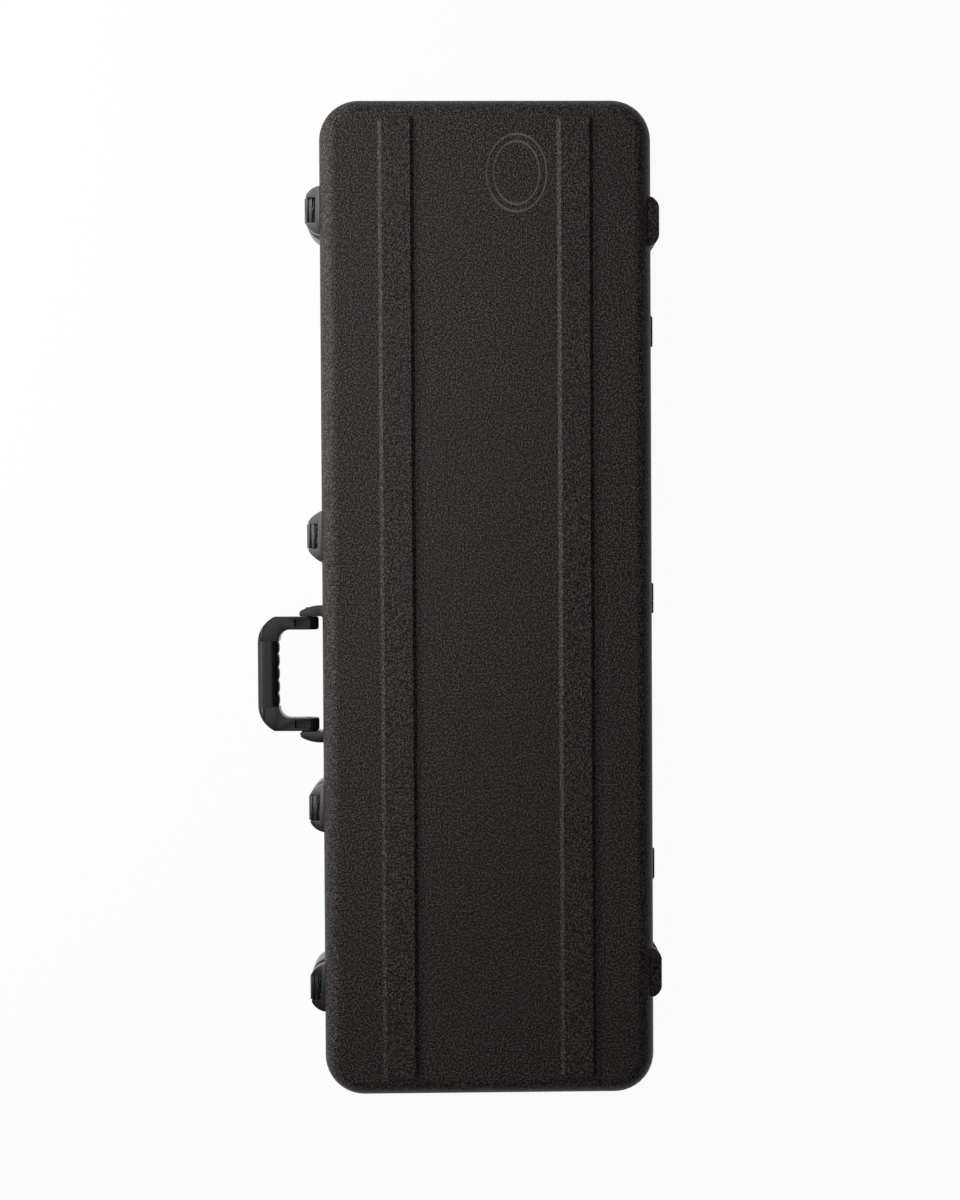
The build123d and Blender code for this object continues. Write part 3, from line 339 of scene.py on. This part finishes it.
# %% [markdown]
# ## Soft grip
# The grip is thermoplastic rubber moulded over the handle's core. It is darker and duller than the nylon, with a
# faint stipple.

# %% Moulded grip rubber
STIPPLE = 1.1 * MM
STIPPLE_DEPTH = 0.08 * MM
GRIP_WEAR = 14 * MM
GRIP_DARK = "0F0E0E"
GRIP_WORN = "1B1A1A"
GRIP_SHINY, GRIP_DULL = 0.34, 0.50

grip_rubber, tree, shader, place = start("overmoulded_grip_rubber", Roughness=0.5, IOR=1.5,
                                         Specular_IOR_Level=0.34)
stipple = add(tree, "ShaderNodeTexVoronoi", {"Scale": 1 / STIPPLE}, {"Vector": place})
worn = add(tree, "ShaderNodeTexNoise", {"Scale": 1 / GRIP_WEAR, "Detail": 4.0}, {"Vector": place})
worn_colour = add(tree, "ShaderNodeMix",
                  {"data_type": "RGBA", MIX_FIRST: linear(GRIP_DARK), MIX_SECOND: linear(GRIP_WORN)},
                  {MIX_SHARE: worn.outputs[0]})
tree.links.new(worn_colour.outputs[MIX_COLOUR], shader.inputs["Base Color"])
rough = add(tree, "ShaderNodeMapRange", {"To Min": GRIP_SHINY, "To Max": GRIP_DULL}, {"Value": worn.outputs[0]})
tree.links.new(rough.outputs[0], shader.inputs["Roughness"])
dots = add(tree, "ShaderNodeBump", {"Strength": 0.3, "Distance": STIPPLE_DEPTH}, {"Height": stipple.outputs[0]})
tree.links.new(dots.outputs[0], shader.inputs["Normal"])

# %% [markdown]
# ## Black zinc and anodised aluminium
# Hinges, pins, screws and rivets are steel with black zinc plating, which has a faint cloudy bloom. The rims are
# aluminium extrusion, anodised black, and the die leaves fine lines along their length.

# %% Zinc-plated steel
ZINC_CLOUD = 6 * MM
ZINC_DEPTH = 0.04 * MM
ZINC_DARK = "37373A"
ZINC_PALE = "58575A"
ZINC_SHINY, ZINC_DULL = 0.28, 0.5

black_zinc, tree, shader, place = start("black_zinc_plated_steel", Roughness=0.38, Metallic=1.0)
cloud = add(tree, "ShaderNodeTexNoise", {"Scale": 1 / ZINC_CLOUD, "Detail": 6.0}, {"Vector": place})
cloud_colour = add(tree, "ShaderNodeMix",
                   {"data_type": "RGBA", MIX_FIRST: linear(ZINC_DARK), MIX_SECOND: linear(ZINC_PALE)},
                   {MIX_SHARE: cloud.outputs[0]})
tree.links.new(cloud_colour.outputs[MIX_COLOUR], shader.inputs["Base Color"])
rough = add(tree, "ShaderNodeMapRange", {"To Min": ZINC_SHINY, "To Max": ZINC_DULL}, {"Value": cloud.outputs[0]})
tree.links.new(rough.outputs[0], shader.inputs["Roughness"])
plating = add(tree, "ShaderNodeBump", {"Strength": 0.2, "Distance": ZINC_DEPTH}, {"Height": cloud.outputs[0]})
tree.links.new(plating.outputs[0], shader.inputs["Normal"])

# %% Rim aluminium
DIE_LINE = 0.7 * MM
DIE_LINE_DEPTH = 0.05 * MM
RIM_BLOOM = 30 * MM
RIM_DARK = "2C2C2F"
RIM_PALE = "46464A"
RIM_SHINY, RIM_DULL = 0.26, 0.46

black_rim, tree, shader, place = start("black_anodised_aluminium", Roughness=0.34, Metallic=1.0)
split = add(tree, "ShaderNodeSeparateXYZ", {}, {"Vector": place})
level = add(tree, "ShaderNodeCombineXYZ", {}, {"Z": split.outputs["Z"]})
line = add(tree, "ShaderNodeTexNoise", {"Scale": 1 / DIE_LINE, "Detail": 1.0}, {"Vector": level.outputs[0]})
bloom = add(tree, "ShaderNodeTexNoise", {"Scale": 1 / RIM_BLOOM, "Detail": 4.0}, {"Vector": place})
rim_colour = add(tree, "ShaderNodeMix",
                 {"data_type": "RGBA", MIX_FIRST: linear(RIM_DARK), MIX_SECOND: linear(RIM_PALE)},
                 {MIX_SHARE: bloom.outputs[0]})
tree.links.new(rim_colour.outputs[MIX_COLOUR], shader.inputs["Base Color"])
rough = add(tree, "ShaderNodeMapRange", {"To Min": RIM_SHINY, "To Max": RIM_DULL}, {"Value": line.outputs[0]})
tree.links.new(rough.outputs[0], shader.inputs["Roughness"])
drawn = add(tree, "ShaderNodeBump", {"Strength": 0.25, "Distance": DIE_LINE_DEPTH}, {"Height": line.outputs[0]})
tree.links.new(drawn.outputs[0], shader.inputs["Normal"])

# %% [markdown]
# ## Plush
# The lining is a short knitted pile glued over foam. Pile scatters light back from its fibre tips, which sheen
# gives, and it lies in soft patches where hands have brushed it.

# %% Plush pile
PILE_TUFT = 1.6 * MM
PILE_DEPTH = 0.9 * MM
PILE_BRUSHED = 45 * MM
PILE_ROOT = "17171A"
PILE_TIP = "3A3A40"
PILE_LAY = "35353B"
PILE_SHEEN = "8C8C96"
TIP_STARTS, TIP_FULL = 0.3, 0.75
LAY_STARTS, LAY_FULL, LAY_STRENGTH = 0.42, 0.62, 0.4
BRUSHED_HEIGHT = 1.5

plush, tree, shader, place = start("short_pile_plush", Roughness=0.95, IOR=1.45, Sheen_Weight=0.55,
                                   Sheen_Roughness=0.45)
shader.inputs["Sheen Tint"].default_value = linear(PILE_SHEEN)
tuft = add(tree, "ShaderNodeTexNoise", {"Scale": 1 / PILE_TUFT, "Detail": 4.0, "Roughness": 0.7},
           {"Vector": place})
brushed = add(tree, "ShaderNodeTexNoise", {"Scale": 1 / PILE_BRUSHED, "Detail": 3.0, "Distortion": 0.6},
              {"Vector": place})
tuft_share = add(tree, "ShaderNodeMapRange", {"From Min": TIP_STARTS, "From Max": TIP_FULL},
                 {"Value": tuft.outputs[0]})
tuft_colour = add(tree, "ShaderNodeMix",
                  {"data_type": "RGBA", MIX_FIRST: linear(PILE_ROOT), MIX_SECOND: linear(PILE_TIP)},
                  {MIX_SHARE: tuft_share.outputs[0]})
brushed_share = add(tree, "ShaderNodeMapRange",
                    {"From Min": LAY_STARTS, "From Max": LAY_FULL, "To Max": LAY_STRENGTH},
                    {"Value": brushed.outputs[0]})
lay = add(tree, "ShaderNodeMix", {"data_type": "RGBA", MIX_SECOND: linear(PILE_LAY)},
          {MIX_SHARE: brushed_share.outputs[0], MIX_FIRST: tuft_colour.outputs[MIX_COLOUR]})
tree.links.new(lay.outputs[MIX_COLOUR], shader.inputs["Base Color"])
pile_height = add(tree, "ShaderNodeMath", {"operation": "MULTIPLY_ADD", 1: BRUSHED_HEIGHT},
                  {0: brushed.outputs[0], 2: tuft.outputs[0]})
pile = add(tree, "ShaderNodeBump", {"Strength": 0.9, "Distance": PILE_DEPTH},
           {"Height": pile_height.outputs[0]})
tree.links.new(pile.outputs[0], shader.inputs["Normal"])

# %% [markdown]
# ## Finishes on the CAD pieces
# Each CAD piece came in with a plain stand-in material, named for its slot in the record. Giving each slot its
# finished material dresses every piece at once and keeps the slots usable for repainting.

# %% Dress the CAD pieces
FINISHES = {
    "shell_abs": abs_shell,
    "black_nylon": nylon,
    "soft_grip": grip_rubber,
    "zinc_steel": black_zinc,
    "rim_aluminium": black_rim,
    "plush_foam": plush,
}
NODE_SLOT = {name: node.material_slots[0].material.name.split(".")[0] for name, node in NODES.items()}
for name, node in NODES.items():
    for slot in node.material_slots:
        slot.material = FINISHES[NODE_SLOT[name]]
NODES["lid_shell"].material_slots[0].material = lid_abs
print({slot: sum(1 for s in NODE_SLOT.values() if s == slot) for slot in FINISHES})

# %% [markdown]
# ## Rounded nylon
# A moulding leaves its tool with every corner rounded, and those rounds are what catch the light along a black
# handle. The handle's core, its brackets and the latches each get a copy of their CAD shape with the corners
# rolled over: wide on the handle that a hand closes round, narrow on the small latch pieces. Flat triangles are
# joined first, so a roll runs along the whole edge.

# %% Makers of new pieces
SAME_POINT = 0.01 * MM
FLAT_JOIN = 1.0
CORNER_ANGLE = 32.0
ROLL_SEGMENTS = 4


def new_piece(name, mesh_data, material):
    """An object at the origin with that mesh and finish."""
    piece = bpy.data.objects.new(name, mesh_data)
    bpy.context.scene.collection.objects.link(piece)
    mesh_data.materials.clear()
    mesh_data.materials.append(material)
    return piece


def merged_copy(node_name, mesh_name):
    """The CAD node's mesh with its loose triangles joined."""
    work = bmesh.new()
    work.from_mesh(NODES[node_name].data)
    bmesh.ops.remove_doubles(work, verts=work.verts, dist=SAME_POINT)
    mesh_data = bpy.data.meshes.new(mesh_name)
    work.to_mesh(mesh_data)
    work.free()
    return mesh_data


def rounded_piece(node_name, piece_name, body, width, material):
    """A copy of the CAD piece with its corners rolled over by that width."""
    piece = new_piece(piece_name, merged_copy(node_name, piece_name), material)
    work = bmesh.new()
    work.from_mesh(piece.data)
    bmesh.ops.dissolve_limit(work, angle_limit=math.radians(FLAT_JOIN), verts=work.verts,
                             edges=work.edges)
    for face in work.faces:
        face.smooth = True
    work.to_mesh(piece.data)
    work.free()
    roll = piece.modifiers.new("rolled_corners", "BEVEL")
    roll.width = width
    roll.segments = ROLL_SEGMENTS
    roll.limit_method = "ANGLE"
    roll.angle_limit = math.radians(CORNER_ANGLE)
    roll.use_clamp_overlap = True
    roll.harden_normals = True
    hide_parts(node_name)
    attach(piece, body)


# %% Handle, brackets and latches
HANDLE_ROLL = 2.6 * MM
BRACKET_ROLL = 0.9 * MM
LATCH_ROLL = 0.6 * MM
LATCHES = (1, 2, 3, 4)

rounded_piece("handle_core", "moulded_handle_core", "handle", HANDLE_ROLL, handle_nylon)
for end in ("upper", "lower"):
    rounded_piece(f"handle_bracket_{end}", f"moulded_bracket_{end}", "base", BRACKET_ROLL, bracket_nylon)
for number in LATCHES:
    rounded_piece(f"latch_housing_{number}", f"moulded_housing_{number}", "base", LATCH_ROLL, nylon)
    rounded_piece(f"latch_keeper_{number}", f"moulded_keeper_{number}", "lid", LATCH_ROLL, nylon)
    rounded_piece(f"latch_lever_{number}", f"moulded_lever_{number}", f"latch_{number}", LATCH_ROLL, nylon)

# %% [markdown]
# ## The plush lining
# Each pad is foam, cut to shape and wrapped in plush, so its edges are round and its faces are never quite flat.
# The CAD block gives the place and the outline. A voxel remesh turns its loose triangles into an even skin, the
# skin is drawn in a little and smoothed until its edges roll over, and a slow noise leaves it slightly uneven.

# %% Pad makers
PAD_SKIN = 5 * MM
PAD_DRAWN_IN = 0.5 * MM
PAD_SMOOTHING = 7
PAD_SMOOTH_STEP = 0.5
PAD_UNEVEN = 0.5 * MM
PAD_UNEVEN_WIDTH = 60 * MM


def apply_modifiers(piece):
    """The piece keeps the shape that its modifiers give, as its own mesh."""
    shaped = piece.evaluated_get(bpy.context.evaluated_depsgraph_get())
    mesh_data = bpy.data.meshes.new_from_object(shaped)
    piece.modifiers.clear()
    piece.data = mesh_data


def wrapped_in_plush(node_name, piece_name, body, skin, smoothing):
    """The CAD block in plush, with an even skin and rolled edges."""
    piece = new_piece(piece_name, merged_copy(node_name, piece_name), plush)
    remesh = piece.modifiers.new("skin", "REMESH")
    remesh.mode = "VOXEL"
    remesh.voxel_size = skin
    apply_modifiers(piece)
    work = bmesh.new()
    work.from_mesh(piece.data)
    for _ in range(smoothing):
        bmesh.ops.smooth_vert(work, verts=work.verts, factor=PAD_SMOOTH_STEP, use_axis_x=True,
                              use_axis_y=True, use_axis_z=True)
    work.normal_update()
    for vert in work.verts:
        lift = noise.noise(vert.co / PAD_UNEVEN_WIDTH) * PAD_UNEVEN
        vert.co -= vert.normal * (PAD_DRAWN_IN + lift)
    for face in work.faces:
        face.smooth = True
    work.to_mesh(piece.data)
    print(piece_name, len(work.faces), "faces")
    work.free()
    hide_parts(node_name)
    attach(piece, body)
    return piece


def plush_pad(node_name, piece_name, body, skin=PAD_SKIN):
    """A foam pad in plush that stands for the CAD block."""
    wrapped_in_plush(node_name, piece_name, body, skin, PAD_SMOOTHING)


# %% Pads of the base and the lid
SHEET_SKIN = 4 * MM
CRADLE_SKIN = 3 * MM

plush_pad("floor_pad", "plush_floor_pad", "base", skin=SHEET_SKIN)
plush_pad("foam_front", "plush_front_block", "base")
plush_pad("foam_body_rear", "plush_body_rear_block", "base")
plush_pad("foam_head_rear", "plush_head_rear_block", "base")
plush_pad("foam_body_end", "plush_body_end_block", "base")
plush_pad("foam_head_end", "plush_head_end_block", "base")
plush_pad("neck_cradle", "plush_neck_cradle", "base", skin=CRADLE_SKIN)
plush_pad("lid_pad", "plush_lid_pad", "lid", skin=SHEET_SKIN)

# %% [markdown]
# ## The accessory box
# The box for strings and tools is thin board wrapped in the same plush, so it keeps its corners but none of them
# is sharp. A finer skin than the pads have follows its four millimetre walls, and a little smoothing rolls them.

# %% Accessory box
BOARD_SKIN = 2.5 * MM
BOARD_SMOOTHING = 2

wrapped_in_plush("accessory_box", "plush_accessory_box", "base", BOARD_SKIN, BOARD_SMOOTHING)
